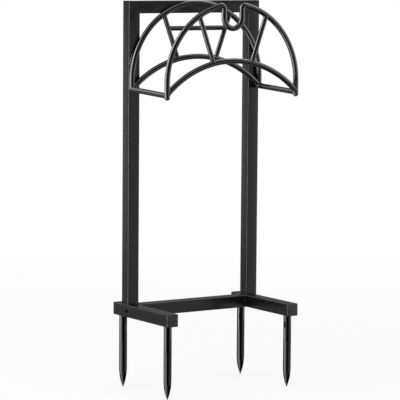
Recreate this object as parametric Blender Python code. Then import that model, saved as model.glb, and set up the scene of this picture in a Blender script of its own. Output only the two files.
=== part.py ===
"""Free-standing garden hose stand: a square-tube frame on a spiked base, with a bent-rod hanger.

Metres, +Z up. The spike tips stand on z = 0, the stand faces -Y, and the origin is under the
middle of its box. Pieces that touch are set GAP apart, which stands for the weld or the fit.
"""

import math

import bmesh
import bpy
from mathutils import Matrix, Vector

# Driving dimensions of the frame
GAP = 0.0003
STAND_WIDTH = 0.310
STAND_DEPTH = 0.205
STAND_HEIGHT = 0.777
TUBE = 0.025
TUBE_WALL = 0.0012
TUBE_CORNER = 0.0018
POST_SETBACK = 0.045

# Ground spikes, measured below the base
SPIKE_LENGTH = 0.147
SPIKE_DIAMETER = 0.016
SPIKE_TAPER = 0.043
SPIKE_OGIVE = 2.4
SPIKE_TIP_RADIUS = 0.0008
SPIKE_EDGE = 0.0005
SPIKE_INSET = 0.0185
TENON_DIAMETER = 0.0096
TENON_HEIGHT = 0.005

# Plastic caps in the ends of the base tubes
CAP_THICKNESS = 0.0025
CAP_EDGE = 0.0008
CAP_PLUG_DEPTH = 0.009
CAP_PLUG_WALL = 0.0018

# M6 cap screws, their washers and the threaded end plugs that they pull on
SCREW_DIAMETER = 0.006
SCREW_HEAD_DIAMETER = 0.010
SCREW_HEAD_HEIGHT = 0.006
SCREW_LENGTH = 0.018
SCREW_EDGE = 0.0006
HEX_ACROSS_FLATS = 0.005
HEX_DEPTH = 0.003
WASHER_DIAMETER = 0.012
WASHER_THICKNESS = 0.0012
PLUG_DEPTH = 0.012
PLUG_FLANGE = 0.003
PLUG_EDGE = 0.0008
KEY_HOLE_DIAMETER = 0.0088
HEAD_HOLE_DIAMETER = 0.0125
SCREW_OFFSET = 0.005

# Bent-rod hanger. Drops are measured down from the top of the crossbar.
ROD_DIAMETER = 0.011
SPOKE_DIAMETER = 0.0095
HANGER_DEPTH = 0.130
ARCH_RADIUS = 0.1515
ARCH_RISE = 0.001
BEND_RADIUS = 0.0062
NOTCH_RADIUS = 0.021
NOTCH_DROP = 0.0515
SADDLE_RISE = 0.0625
FRONT_SADDLE_DROP = 0.115
REAR_SADDLE_DROP = 0.1115
FRONT_ARM_DROP = 0.180
LEG_OVERHANG = 0.009
SPOKE_TOP_X = 0.0785
SPOKE_LOW_X = 0.045
BACK_BAR_DROP = 0.055

# Facets of round shapes
ROD_SIDES = 12
ARC_STEP = math.radians(7.5)
BEND_STEP = math.radians(18)
TURN_STEPS = 24
HOLE_SIDES = 20
CORNER_STEPS = 3
DOME_RINGS = 3
TAPER_RINGS = 8
SMOOTH_ANGLE = math.radians(35)
MERGE_DISTANCE = 0.00005

# Places that follow from the driving dimensions
HALF_WIDTH = STAND_WIDTH / 2
HALF_TUBE = TUBE / 2
POST_X = HALF_WIDTH - HALF_TUBE
POST_Y = STAND_DEPTH / 2 - POST_SETBACK
BASE_UNDERSIDE = SPIKE_LENGTH
BASE_TOP = BASE_UNDERSIDE + TUBE
BASE_MIDDLE = BASE_UNDERSIDE + HALF_TUBE
ROD_RADIUS = ROD_DIAMETER / 2
SPOKE_RADIUS = SPOKE_DIAMETER / 2
CROSS_TUBE_END_X = HALF_WIDTH - TUBE - 2 * GAP - PLUG_FLANGE
REAR_PLANE_Y = POST_Y - HALF_TUBE - GAP - ROD_RADIUS
FRONT_PLANE_Y = REAR_PLANE_Y - HANGER_DEPTH
ARCH_CENTRE_Z = STAND_HEIGHT + ARCH_RISE - ROD_RADIUS - ARCH_RADIUS
NOTCH_CENTRE_Z = STAND_HEIGHT - NOTCH_DROP + NOTCH_RADIUS
REAR_CORNER_Z = STAND_HEIGHT - REAR_SADDLE_DROP - SADDLE_RISE
ARM_FRONT_Z = STAND_HEIGHT - FRONT_ARM_DROP
BACK_BAR_Z = STAND_HEIGHT - BACK_BAR_DROP
SADDLE_RADIUS = (ARCH_RADIUS**2 + SADDLE_RISE**2) / (2 * SADDLE_RISE)

SIDES = {"left": -1, "right": 1}


def clear_scene():
    for obj in list(bpy.data.objects):
        bpy.data.objects.remove(obj, do_unlink=True)


def make_material(name, colour, roughness, metallic):
    material = bpy.data.materials.new(name)
    material.use_nodes = True
    shader = material.node_tree.nodes["Principled BSDF"]
    shader.inputs["Base Color"].default_value = (*colour, 1.0)
    shader.inputs["Roughness"].default_value = roughness
    shader.inputs["Metallic"].default_value = metallic
    material.diffuse_color = (*colour, 1.0)
    return material


clear_scene()
POWDER_COAT = make_material("powder_coat_satin_black", (0.023, 0.023, 0.024), 0.42, 0.0)
GLOSS_COAT = make_material("powder_coat_gloss_black", (0.012, 0.012, 0.013), 0.2, 0.0)
ENAMEL = make_material("enamel_deep_black", (0.004, 0.004, 0.004), 0.15, 0.0)
CAP_PLASTIC = make_material("plastic_black", (0.025, 0.025, 0.025), 0.5, 0.0)
BLACK_STEEL = make_material("steel_black_oxide", (0.03, 0.03, 0.032), 0.35, 1.0)
ZINC_STEEL = make_material("steel_zinc", (0.55, 0.55, 0.56), 0.3, 1.0)


def add_object(name, bm, material=None, helper=False):
    """Links the mesh as an object: a piece of the stand, or a cutter that only shapes one."""
    bmesh.ops.recalc_face_normals(bm, faces=bm.faces)
    mesh = bpy.data.meshes.new(name)
    bm.to_mesh(mesh)
    bm.free()
    mesh.shade_smooth()
    mesh.set_sharp_from_angle(angle=SMOOTH_ANGLE)
    obj = bpy.data.objects.new(name, mesh)
    bpy.context.scene.collection.objects.link(obj)
    if material:
        mesh.materials.append(material)
    if helper:
        obj.hide_render = True
        obj.display_type = "WIRE"
    return obj


def cut(obj, cutter):
    boolean = obj.modifiers.new("cut " + cutter.name, "BOOLEAN")
    boolean.operation = "DIFFERENCE"
    boolean.solver = "EXACT"
    boolean.object = cutter


def drill(obj, start, direction, diameter, depth, sides=HOLE_SIDES):
    """Cuts a straight hole from start along direction; six sides make a hexagon socket."""
    bm = bmesh.new()
    turn = Vector((0, 0, 1)).rotation_difference(Vector(direction)).to_matrix().to_4x4()
    place = Matrix.Translation(Vector(start)) @ turn @ Matrix.Translation((0, 0, depth / 2))
    bmesh.ops.create_cone(
        bm, cap_ends=True, segments=sides, radius1=diameter / 2, radius2=diameter / 2,
        depth=depth, matrix=place,
    )
    cutter = add_object(f"drill_{obj.name}_{len(obj.modifiers)}", bm, helper=True)
    cut(obj, cutter)


def rounded_square(half, radius, steps=CORNER_STEPS):
    """Outline of a square of the given half width with round corners, anticlockwise."""
    points = []
    for quarter in range(4):
        middle = math.radians(45 + 90 * quarter)
        centre_u = (half - radius) * math.copysign(1, math.cos(middle))
        centre_v = (half - radius) * math.copysign(1, math.sin(middle))
        for step in range(steps + 1):
            angle = math.radians(90 * quarter) + math.radians(90) * step / steps
            points.append((centre_u + radius * math.cos(angle), centre_v + radius * math.sin(angle)))
    return points


def add_loop(bm, points):
    return [bm.verts.new(point) for point in points]


def bridge(bm, first, second):
    count = len(first)
    for i in range(count):
        j = (i + 1) % count
        bm.faces.new((first[i], first[j], second[j], second[i]))


# Square tube

def square_tube(name, length, start_slope=0.0, end_slope=0.0):
    """Hollow tube along its own +Z. A slope of 1 or -1 cuts that end as a mitre across local X."""
    bm = bmesh.new()
    loops = []
    for half, radius in ((HALF_TUBE, TUBE_CORNER), (HALF_TUBE - TUBE_WALL, TUBE_CORNER - TUBE_WALL)):
        outline = rounded_square(half, radius)
        loops.append((
            add_loop(bm, [(u, v, start_slope * u) for u, v in outline]),
            add_loop(bm, [(u, v, length + end_slope * u) for u, v in outline]),
        ))
    (outer_start, outer_end), (inner_start, inner_end) = loops
    bridge(bm, outer_start, outer_end)
    bridge(bm, inner_end, inner_start)
    bridge(bm, inner_start, outer_start)
    bridge(bm, outer_end, inner_end)
    return add_object(name, bm, POWDER_COAT)


def add_frame():
    mitre_gap = GAP / math.sqrt(2)
    post_length = STAND_HEIGHT - HALF_TUBE - BASE_TOP - GAP - mitre_gap
    for side, sign in SIDES.items():
        post = square_tube(f"{side}_post", post_length, end_slope=sign)
        post.location = (sign * POST_X, POST_Y, BASE_TOP + GAP)
    crossbar = square_tube("top_crossbar", 2 * (POST_X - mitre_gap), start_slope=1, end_slope=-1)
    crossbar.location = (mitre_gap - POST_X, POST_Y, STAND_HEIGHT - HALF_TUBE)
    crossbar.rotation_euler = (0, math.radians(90), 0)


def add_base():
    cross_tube = square_tube("base_cross_tube", 2 * CROSS_TUBE_END_X)
    cross_tube.location = (-CROSS_TUBE_END_X, POST_Y, BASE_MIDDLE)
    cross_tube.rotation_euler = (0, math.radians(90), 0)

    tube_length = STAND_DEPTH - 2 * (CAP_THICKNESS + GAP)
    for side, sign in SIDES.items():
        tube = square_tube(f"{side}_base_tube", tube_length)
        tube.location = (sign * POST_X, tube_length / 2, BASE_MIDDLE)
        tube.rotation_euler = (math.radians(90), 0, 0)
        drill_base_tube(tube, sign)


def drill_base_tube(tube, sign):
    """Holes for the two screws, for the key and the head that pass them, and for the spikes."""
    reach = 2 * TUBE_WALL
    clearance = SCREW_DIAMETER + 2 * GAP
    side_y = POST_Y - SCREW_OFFSET
    post_y = POST_Y + SCREW_OFFSET
    outer_x = sign * (HALF_WIDTH + TUBE_WALL / 2)
    inner_x = sign * (HALF_WIDTH - TUBE - TUBE_WALL / 2)
    drill(tube, (outer_x, side_y, BASE_MIDDLE), (-sign, 0, 0), KEY_HOLE_DIAMETER, reach)
    drill(tube, (inner_x, side_y, BASE_MIDDLE), (sign, 0, 0), clearance, reach)
    under = BASE_UNDERSIDE - TUBE_WALL / 2
    over = BASE_TOP + TUBE_WALL / 2
    drill(tube, (sign * POST_X, post_y, under), (0, 0, 1), HEAD_HOLE_DIAMETER, reach)
    drill(tube, (sign * POST_X, post_y, over), (0, 0, -1), clearance, reach)
    for y in spike_places():
        drill(tube, (sign * POST_X, y, under), (0, 0, 1), TENON_DIAMETER + 2 * GAP, reach)


# End caps of the base tubes

def end_cap(name):
    """Cap facing its own +Z, with a hollow plug behind the cover; its origin is on the tube's end."""
    bm = bmesh.new()
    plug_half = HALF_TUBE - TUBE_WALL - GAP
    plug_corner = TUBE_CORNER - TUBE_WALL
    levels = [
        (plug_half - CAP_PLUG_WALL, plug_corner / 2, 0.0),
        (plug_half - CAP_PLUG_WALL, plug_corner / 2, -CAP_PLUG_DEPTH),
        (plug_half, plug_corner, -CAP_PLUG_DEPTH),
        (plug_half, plug_corner, GAP),
        (HALF_TUBE, TUBE_CORNER, GAP),
        (HALF_TUBE, TUBE_CORNER, GAP + CAP_THICKNESS - CAP_EDGE),
        (HALF_TUBE - CAP_EDGE, TUBE_CORNER - CAP_EDGE, GAP + CAP_THICKNESS),
    ]
    loops = [
        add_loop(bm, [(u, v, z) for u, v in rounded_square(half, radius)]) for half, radius, z in levels
    ]
    for first, second in zip(loops, loops[1:]):
        bridge(bm, first, second)
    bm.faces.new(loops[0])
    bm.faces.new(loops[-1])
    return add_object(name, bm, CAP_PLASTIC)


def add_end_caps():
    end_y = STAND_DEPTH / 2 - CAP_THICKNESS - GAP
    for side, sign in SIDES.items():
        front = end_cap(f"{side}_front_end_cap")
        front.location = (sign * POST_X, -end_y, BASE_MIDDLE)
        front.rotation_euler = (math.radians(90), 0, 0)
        rear = end_cap(f"{side}_rear_end_cap")
        rear.location = (sign * POST_X, end_y, BASE_MIDDLE)
        rear.rotation_euler = (math.radians(-90), 0, 0)


# Turned pieces

def turned(name, profile, material, steps=TURN_STEPS):
    """Turns a profile of (radius, height), listed from the top down, about its own Z axis."""
    bm = bmesh.new()
    verts = add_loop(bm, [(radius, 0, height) for radius, height in profile])
    for first, second in zip(verts, verts[1:]):
        bm.edges.new((first, second))
    if profile[0][0] > 0:
        bm.edges.new((verts[-1], verts[0]))
    mesh = bpy.data.meshes.new(name)
    bm.to_mesh(mesh)
    bm.free()
    mesh.materials.append(material)
    obj = bpy.data.objects.new(name, mesh)
    bpy.context.scene.collection.objects.link(obj)
    screw = obj.modifiers.new("turn", "SCREW")
    screw.steps = steps
    screw.render_steps = steps
    screw.use_merge_vertices = True
    screw.merge_threshold = MERGE_DISTANCE
    screw.use_smooth_shade = True
    return obj


def spike_places():
    return (SPIKE_INSET - STAND_DEPTH / 2, STAND_DEPTH / 2 - SPIKE_INSET)


def spike_profile():
    """Tenon, shoulder and shank, then an ogive down to a blunt tip at height 0."""
    radius = SPIKE_DIAMETER / 2
    tenon = TENON_DIAMETER / 2
    tenon_top = SPIKE_LENGTH + TENON_HEIGHT
    shoulder = SPIKE_LENGTH - GAP
    profile = [
        (0, tenon_top),
        (tenon - SPIKE_EDGE, tenon_top),
        (tenon, tenon_top - SPIKE_EDGE),
        (tenon, shoulder),
        (radius - SPIKE_EDGE, shoulder),
        (radius, shoulder - SPIKE_EDGE),
    ]
    for ring in range(TAPER_RINGS):
        share = 1 - ring / TAPER_RINGS
        profile.append((radius * (1 - (1 - share) ** SPIKE_OGIVE), SPIKE_TAPER * share))
    profile += [(SPIKE_TIP_RADIUS, 0), (0, 0)]
    return profile


def add_spikes():
    for side, sign in SIDES.items():
        for end, y in zip(("front", "rear"), spike_places()):
            spike = turned(f"{side}_{end}_spike", spike_profile(), ENAMEL)
            spike.location = (sign * POST_X, y, 0)


# Fasteners of the base

def cap_screw(name):
    """M6 cap screw along its own +Z, with the origin under its head."""
    head = SCREW_HEAD_DIAMETER / 2
    shank = SCREW_DIAMETER / 2
    profile = [
        (0, SCREW_LENGTH),
        (shank - SCREW_EDGE, SCREW_LENGTH),
        (shank, SCREW_LENGTH - SCREW_EDGE),
        (shank, 0),
        (head, 0),
        (head, SCREW_EDGE - SCREW_HEAD_HEIGHT),
        (head - SCREW_EDGE, -SCREW_HEAD_HEIGHT),
        (0, -SCREW_HEAD_HEIGHT),
    ]
    return turned(name, profile, BLACK_STEEL, HOLE_SIDES)


def washer(name):
    """Flat washer, lying from its own origin up."""
    inner = SCREW_DIAMETER / 2 + GAP
    outer = WASHER_DIAMETER / 2
    profile = [(inner, WASHER_THICKNESS), (outer, WASHER_THICKNESS), (outer, 0), (inner, 0)]
    return turned(name, profile, ZINC_STEEL, HOLE_SIDES)


def threaded_plug(name, material, flange=0.0):
    """Square steel plug, closed into a tube's end, with the hole that a screw pulls on.

    Its origin is on the tube's end. A flange below that covers the end like a plate.
    """
    seat = -GAP if flange else GAP
    levels = [
        (HALF_TUBE - TUBE_WALL - GAP, TUBE_CORNER - TUBE_WALL, PLUG_DEPTH),
        (HALF_TUBE - TUBE_WALL - GAP, TUBE_CORNER - TUBE_WALL, seat),
    ]
    if flange:
        low = -GAP - flange
        levels += [
            (HALF_TUBE - PLUG_EDGE, TUBE_CORNER - PLUG_EDGE, seat),
            (HALF_TUBE, TUBE_CORNER, seat - PLUG_EDGE),
            (HALF_TUBE, TUBE_CORNER, low + PLUG_EDGE),
            (HALF_TUBE - PLUG_EDGE, TUBE_CORNER - PLUG_EDGE, low),
        ]
    bm = bmesh.new()
    loops = [
        add_loop(bm, [(u, v, z) for u, v in rounded_square(half, radius)]) for half, radius, z in levels
    ]
    for first, second in zip(loops, loops[1:]):
        bridge(bm, first, second)
    bm.faces.new(loops[0])
    bm.faces.new(loops[-1])
    return add_object(name, bm, material)


def fasten(name, wall, direction):
    """Washer and screw from inside the base tube, and the plug beyond its wall.

    The point wall is on the outside of that wall, where the screw's axis leaves the tube.
    """
    turn = Vector((0, 0, 1)).rotation_difference(Vector(direction)).to_euler()
    inside = Vector(wall) - Vector(direction) * (TUBE_WALL + GAP + WASHER_THICKNESS)
    ring = washer(f"{name}_washer")
    screw = cap_screw(f"{name}_screw")
    ring.location = inside
    screw.location = inside - Vector(direction) * GAP
    for piece in (ring, screw):
        piece.rotation_euler = turn
    socket = screw.location - Vector(direction) * (SCREW_HEAD_HEIGHT + HEX_DEPTH)
    drill(screw, socket, direction, HEX_ACROSS_FLATS / math.cos(math.radians(30)), 2 * HEX_DEPTH, 6)


def add_fasteners():
    hole = SCREW_DIAMETER + 2 * GAP
    reach = PLUG_DEPTH + PLUG_FLANGE + TUBE_WALL
    for side, sign in SIDES.items():
        inner_x = sign * (HALF_WIDTH - TUBE)
        side_y = POST_Y - SCREW_OFFSET
        fasten(f"{side}_cross_tube", (inner_x, side_y, BASE_MIDDLE), (-sign, 0, 0))
        plug = threaded_plug(f"{side}_cross_tube_plug", POWDER_COAT, PLUG_FLANGE)
        plug.location = (sign * CROSS_TUBE_END_X, POST_Y, BASE_MIDDLE)
        plug.rotation_euler = (0, math.radians(-90 * sign), 0)
        drill(plug, (inner_x, side_y, BASE_MIDDLE), (-sign, 0, 0), hole, reach + GAP)

        post_y = POST_Y + SCREW_OFFSET
        fasten(f"{side}_post", (sign * POST_X, post_y, BASE_TOP), (0, 0, 1))
        plug = threaded_plug(f"{side}_post_plug", ZINC_STEEL)
        plug.location = (sign * POST_X, POST_Y, BASE_TOP + GAP)
        drill(plug, (sign * POST_X, post_y, BASE_TOP), (0, 0, 1), hole, reach + GAP)


# Bent rods

def arc(centre, radius, start, end, step, y):
    """Points of an arc in the plane at y, both ends included; centre is (x, z)."""
    count = max(2, math.ceil(abs(end - start) / step))
    angles = [start + (end - start) * i / count for i in range(count + 1)]
    return [
        Vector((centre[0] + radius * math.cos(angle), y, centre[1] + radius * math.sin(angle)))
        for angle in angles
    ]


def mirrored(points):
    """The same points on the other side of the stand, in reverse order."""
    return [Vector((-point.x, point.y, point.z)) for point in reversed(points)]


def rounded_corner(before, corner, after):
    """Points of the bend that replaces a sharp corner of a rod."""
    to_before = (before - corner).normalized()
    to_after = (after - corner).normalized()
    half = to_before.angle(to_after) / 2
    centre = corner + (to_before + to_after).normalized() * (BEND_RADIUS / math.sin(half))
    start = corner + to_before * (BEND_RADIUS / math.tan(half)) - centre
    end = corner + to_after * (BEND_RADIUS / math.tan(half)) - centre
    turn = start.rotation_difference(end)
    count = math.ceil(turn.angle / BEND_STEP)
    axis = turn.axis
    return [centre + Matrix.Rotation(turn.angle * i / count, 3, axis) @ start for i in range(count + 1)]


def rod_rings(path, radius):
    """(centre, tangent, radius) of each ring along the path."""
    rings = []
    for i, point in enumerate(path):
        ahead = path[min(i + 1, len(path) - 1)] - point
        behind = point - path[max(i - 1, 0)]
        tangent = (ahead.normalized() + behind.normalized()).normalized()
        rings.append((point, tangent, radius))
    return rings


def dome_rings(end, outward, radius):
    """Shrinking rings that close a rod's end with a dome, from the rod outwards."""
    rings = []
    for i in range(1, DOME_RINGS):
        angle = math.radians(90) * i / DOME_RINGS
        rings.append((end + outward * radius * math.sin(angle), radius * math.cos(angle)))
    return rings


def bent_rod(name, path, radius, material=GLOSS_COAT, domed=False, helper=False):
    """A round rod along a path, with flat or domed ends."""
    rings = rod_rings(path, radius)
    tips = [path[0], path[-1]]
    if domed:
        first, last = rings[0], rings[-1]
        head = [(c, first[1], r) for c, r in dome_rings(first[0], -first[1], radius)]
        tail = [(c, last[1], r) for c, r in dome_rings(last[0], last[1], radius)]
        rings = head[::-1] + rings + tail
        tips = [first[0] - first[1] * radius, last[0] + last[1] * radius]

    bm = bmesh.new()
    across = rings[0][1].orthogonal().normalized()
    loops = []
    for centre, tangent, ring_radius in rings:
        across = (across - tangent * across.dot(tangent)).normalized()
        other = tangent.cross(across)
        loop = []
        for i in range(ROD_SIDES):
            angle = 2 * math.pi * i / ROD_SIDES
            loop.append(centre + (across * math.cos(angle) + other * math.sin(angle)) * ring_radius)
        loops.append(add_loop(bm, loop))
    for first, second in zip(loops, loops[1:]):
        bridge(bm, first, second)
    for loop, tip in ((loops[0], tips[0]), (loops[-1], tips[1])):
        middle = bm.verts.new(tip)
        for i in range(ROD_SIDES):
            bm.faces.new((loop[i], loop[(i + 1) % ROD_SIDES], middle))
    return add_object(name, bm, material, helper)


def rod_and_cutter(name, path, radius, domed=False):
    """The rod, and a cutter one gap larger that copes the ends of the rods welded to it."""
    rod = bent_rod(name, path, radius, domed=domed)
    cutter = bent_rod(f"cope_{name}", path, radius + GAP, None, domed, helper=True)
    return rod, cutter


def front_loop_path():
    """Up the left leg, round the arch, down and up the notch, and the same on the right."""
    y = FRONT_PLANE_Y
    centre = (0, ARCH_CENTRE_Z)
    bend_x = -(NOTCH_RADIUS + BEND_RADIUS)
    bend_rise = math.sqrt((ARCH_RADIUS - BEND_RADIUS) ** 2 - bend_x**2)
    bend_centre = (bend_x, ARCH_CENTRE_Z + bend_rise)
    bend_start = math.atan2(bend_rise, bend_x)
    half = [Vector((-ARCH_RADIUS, y, ARM_FRONT_Z - LEG_OVERHANG + ROD_RADIUS))]
    half += arc(centre, ARCH_RADIUS, math.pi, bend_start, ARC_STEP, y)
    half += arc(bend_centre, BEND_RADIUS, bend_start, 0, BEND_STEP, y)[1:]
    half += arc((0, NOTCH_CENTRE_Z), NOTCH_RADIUS, math.pi, 1.5 * math.pi, BEND_STEP, y)
    return half + mirrored(half)[1:]


def rear_arch_path():
    y = REAR_PLANE_Y
    foot = Vector((-ARCH_RADIUS, y, REAR_CORNER_Z))
    arch = arc((0, ARCH_CENTRE_Z), ARCH_RADIUS, math.pi, 0, ARC_STEP, y)
    return [foot] + arch + [Vector((-foot.x, y, foot.z))]


def saddle_z(drop, x):
    """Height of a saddle's centreline; drop is that of its highest point."""
    return STAND_HEIGHT - drop - SADDLE_RADIUS + math.sqrt(SADDLE_RADIUS**2 - x * x)


def saddle_path(drop, y):
    reach = math.asin(ARCH_RADIUS / SADDLE_RADIUS)
    centre = (0, STAND_HEIGHT - drop - SADDLE_RADIUS)
    return arc(centre, SADDLE_RADIUS, math.pi / 2 + reach, math.pi / 2 - reach, ARC_STEP / 2, y)


def rear_saddle_path():
    """Back along the left arm, over the rear saddle and forward along the right arm."""
    saddle = saddle_path(REAR_SADDLE_DROP, REAR_PLANE_Y)
    arm_front = Vector((-ARCH_RADIUS, FRONT_PLANE_Y, ARM_FRONT_Z))
    corner = saddle[0]
    start = [arm_front] + rounded_corner(arm_front, corner, saddle[2])
    return start + saddle[2:-2] + mirrored(start)


def spoke_path(sign, drop, y):
    arch_z = ARCH_CENTRE_Z + math.sqrt(ARCH_RADIUS**2 - SPOKE_TOP_X**2)
    return [
        Vector((sign * SPOKE_TOP_X, y, arch_z)),
        Vector((sign * SPOKE_LOW_X, y, saddle_z(drop, SPOKE_LOW_X))),
    ]


def add_hanger():
    front_loop, front_loop_cutter = rod_and_cutter(
        "hanger_front_loop", front_loop_path(), ROD_RADIUS, domed=True
    )
    front_saddle, front_saddle_cutter = rod_and_cutter(
        "hanger_front_saddle", saddle_path(FRONT_SADDLE_DROP, FRONT_PLANE_Y), ROD_RADIUS
    )
    rear_arch, rear_arch_cutter = rod_and_cutter("hanger_rear_arch", rear_arch_path(), ROD_RADIUS)
    rear_saddle, rear_saddle_cutter = rod_and_cutter(
        "hanger_rear_saddle", rear_saddle_path(), ROD_RADIUS
    )
    cut(front_saddle, front_loop_cutter)
    cut(rear_saddle, front_loop_cutter)
    cut(rear_saddle, front_saddle_cutter)
    cut(rear_arch, rear_saddle_cutter)

    back_bar = bent_rod("hanger_back_bar", back_bar_path(), SPOKE_RADIUS)
    for side, sign in SIDES.items():
        path = spoke_path(sign, FRONT_SADDLE_DROP, FRONT_PLANE_Y)
        spoke = bent_rod(f"{side}_front_spoke", path, SPOKE_RADIUS)
        cut(spoke, front_loop_cutter)
        cut(spoke, front_saddle_cutter)

        path = spoke_path(sign, REAR_SADDLE_DROP, REAR_PLANE_Y)
        spoke, spoke_cutter = rod_and_cutter(f"{side}_rear_spoke", path, SPOKE_RADIUS)
        cut(spoke, rear_arch_cutter)
        cut(spoke, rear_saddle_cutter)
        cut(back_bar, spoke_cutter)


def back_bar_path():
    """From one rear spoke to the other, at the bar's height."""
    top, low = spoke_path(1, REAR_SADDLE_DROP, REAR_PLANE_Y)
    share = (top.z - BACK_BAR_Z) / (top.z - low.z)
    end = top.lerp(low, share)
    return [Vector((-end.x, end.y, end.z)), end]


add_frame()
add_base()
add_end_caps()
add_spikes()
add_fasteners()
add_hanger()
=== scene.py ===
"""Looks of the garden hose stand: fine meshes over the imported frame, materials, light and camera.

Metres, +Z up. The stand faces -Y and stands on its spike tips at z = 0.
"""

import math

import bmesh
import bpy
from mathutils import Matrix, Vector


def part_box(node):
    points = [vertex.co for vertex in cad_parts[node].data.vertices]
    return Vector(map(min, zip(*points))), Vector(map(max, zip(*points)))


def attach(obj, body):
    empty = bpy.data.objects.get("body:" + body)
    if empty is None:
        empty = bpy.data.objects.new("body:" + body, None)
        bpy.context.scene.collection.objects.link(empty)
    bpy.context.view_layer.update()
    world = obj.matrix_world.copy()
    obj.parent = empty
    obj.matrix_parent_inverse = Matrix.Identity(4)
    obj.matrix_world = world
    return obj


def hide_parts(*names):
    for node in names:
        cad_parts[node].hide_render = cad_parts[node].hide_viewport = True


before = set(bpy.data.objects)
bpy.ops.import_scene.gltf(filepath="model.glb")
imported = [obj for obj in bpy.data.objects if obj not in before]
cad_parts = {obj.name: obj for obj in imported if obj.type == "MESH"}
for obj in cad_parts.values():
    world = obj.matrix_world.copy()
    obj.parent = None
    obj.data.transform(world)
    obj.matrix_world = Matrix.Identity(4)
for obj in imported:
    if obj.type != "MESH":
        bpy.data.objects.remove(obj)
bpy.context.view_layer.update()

SIDES = {"left": -1, "right": 1}


def box_size(node):
    low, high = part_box(node)
    return high - low


def box_middle(node):
    low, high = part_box(node)
    return (low + high) / 2


# Sizes and places read from the frame
GAP = 0.0003
TUBE = box_size("left_post").x
HALF_TUBE = TUBE / 2
POST_X = box_middle("right_post").x
POST_Y = box_middle("right_post").y
STAND_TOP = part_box("top_crossbar")[1].z
BASE_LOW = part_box("base_cross_tube")[0].z
BASE_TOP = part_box("base_cross_tube")[1].z
BASE_MIDDLE = box_middle("base_cross_tube").z
SPIKE_RADIUS = box_size("left_front_spike").x / 2
ROD_RADIUS = box_size("hanger_front_loop").y / 2
FRONT_PLANE_Y = box_middle("hanger_front_loop").y
REAR_PLANE_Y = box_middle("hanger_rear_arch").y
LEG_LOW_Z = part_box("hanger_front_loop")[0].z

# Sizes that the frame's boxes don't give. A drop is measured down from STAND_TOP.
TUBE_WALL = 0.0012
TUBE_CORNER = 0.0018
SPOKE_RADIUS = 0.00475
ARCH_RADIUS = 0.1515
ARCH_RISE = 0.001
BEND_RADIUS = 0.0062
NOTCH_RADIUS = 0.021
NOTCH_DROP = 0.0515
SADDLE_RISE = 0.0625
FRONT_SADDLE_DROP = 0.115
REAR_SADDLE_DROP = 0.1115
FRONT_ARM_DROP = 0.180
SPOKE_TOP_X = 0.0785
SPOKE_LOW_X = 0.045
BACK_BAR_DROP = 0.055
SPIKE_TAPER = 0.043
SPIKE_OGIVE = 2.4
SPIKE_TIP_RADIUS = 0.0008
SPIKE_EDGE = 0.0005
TENON_RADIUS = 0.0048
CAP_EDGE = 0.0008
CAP_CROWN = 0.0004
CAP_PLUG_WALL = 0.0018
SCREW_OFFSET = 0.005
KEY_HOLE_RADIUS = 0.0044
HEAD_HOLE_RADIUS = 0.00625
SCREW_HOLE_RADIUS = 0.0033
HOLE_EDGE = 0.00025
BEAD_RADIUS = 0.0011
TACK_RADIUS = 0.0017
SEAM_DEPTH = 0.0001
SHOULDER_GAP = GAP / 3
SPIKE_BEAD_RADIUS = BEAD_RADIUS * 0.7
MITRE_GAP = GAP / math.sqrt(2)

ARCH_CENTRE_Z = STAND_TOP + ARCH_RISE - ROD_RADIUS - ARCH_RADIUS
NOTCH_CENTRE_Z = STAND_TOP - NOTCH_DROP + NOTCH_RADIUS
ARM_FRONT_Z = STAND_TOP - FRONT_ARM_DROP
BACK_BAR_Z = STAND_TOP - BACK_BAR_DROP
SADDLE_RADIUS = (ARCH_RADIUS**2 + SADDLE_RISE**2) / (2 * SADDLE_RISE)
REAR_CORNER_Z = STAND_TOP - REAR_SADDLE_DROP - SADDLE_RISE
FRAME_FRONT_Y = POST_Y - HALF_TUBE

# Fineness of round shapes
CORNER_STEPS = 8
ROD_SIDES = 32
ARC_STEP = math.radians(2)
BEND_STEP = math.radians(6)
DOME_RINGS = 8
TURN_STEPS = 64
HOLE_SIDES = 48
TAPER_RINGS = 28
BEAD_SIDES = 10
BEAD_STEPS = 72
TACK_STEP = math.radians(0.25)
CAP_EDGE_STEPS = 6
SMOOTH_ANGLE = math.radians(40)


def add_object(name, data):
    obj = bpy.data.objects.new(name, data)
    bpy.context.scene.collection.objects.link(obj)
    return obj


def take_mesh(name, bm):
    """Mesh of a finished bmesh, which is freed."""
    mesh = bpy.data.meshes.new(name)
    bm.to_mesh(mesh)
    bm.free()
    return mesh


def add_material(name):
    material = bpy.data.materials.new(name)
    material.use_nodes = True
    return material, material.node_tree


# Materials

# Scales are per metre. Patches are those of the uneven gloss, skin is the fine grain.
CLOUD_SCALE = 14.0
CLOUD_DETAIL = 4.0
PATCH_SCALE = 90.0
PATCH_DETAIL = 3.0
SKIN_DETAIL = 2.0
SKIN_ROUGHNESS = 0.4
# The range that a noise mostly fills, and the shares of the roughness between which the gloss varies
NOISE_RANGE = (0.3, 0.7)
GLOSS_RANGE = (0.9, 1.12)


def link(tree, source, output, target, socket):
    tree.links.new(source.outputs[output], target.inputs[socket])


def noise(tree, place, scale, detail, roughness=0.5):
    node = tree.nodes.new("ShaderNodeTexNoise")
    node.inputs["Scale"].default_value = scale
    node.inputs["Detail"].default_value = detail
    node.inputs["Roughness"].default_value = roughness
    link(tree, place, "Object", node, "Vector")
    return node


def spread(tree, source, low, high):
    """Stretches a noise, which stays near one half, over the range from low to high."""
    node = tree.nodes.new("ShaderNodeMapRange")
    node.inputs["From Min"].default_value = NOISE_RANGE[0]
    node.inputs["From Max"].default_value = NOISE_RANGE[1]
    node.inputs["To Min"].default_value = low
    node.inputs["To Max"].default_value = high
    link(tree, source, "Fac", node, "Value")
    return node


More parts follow.
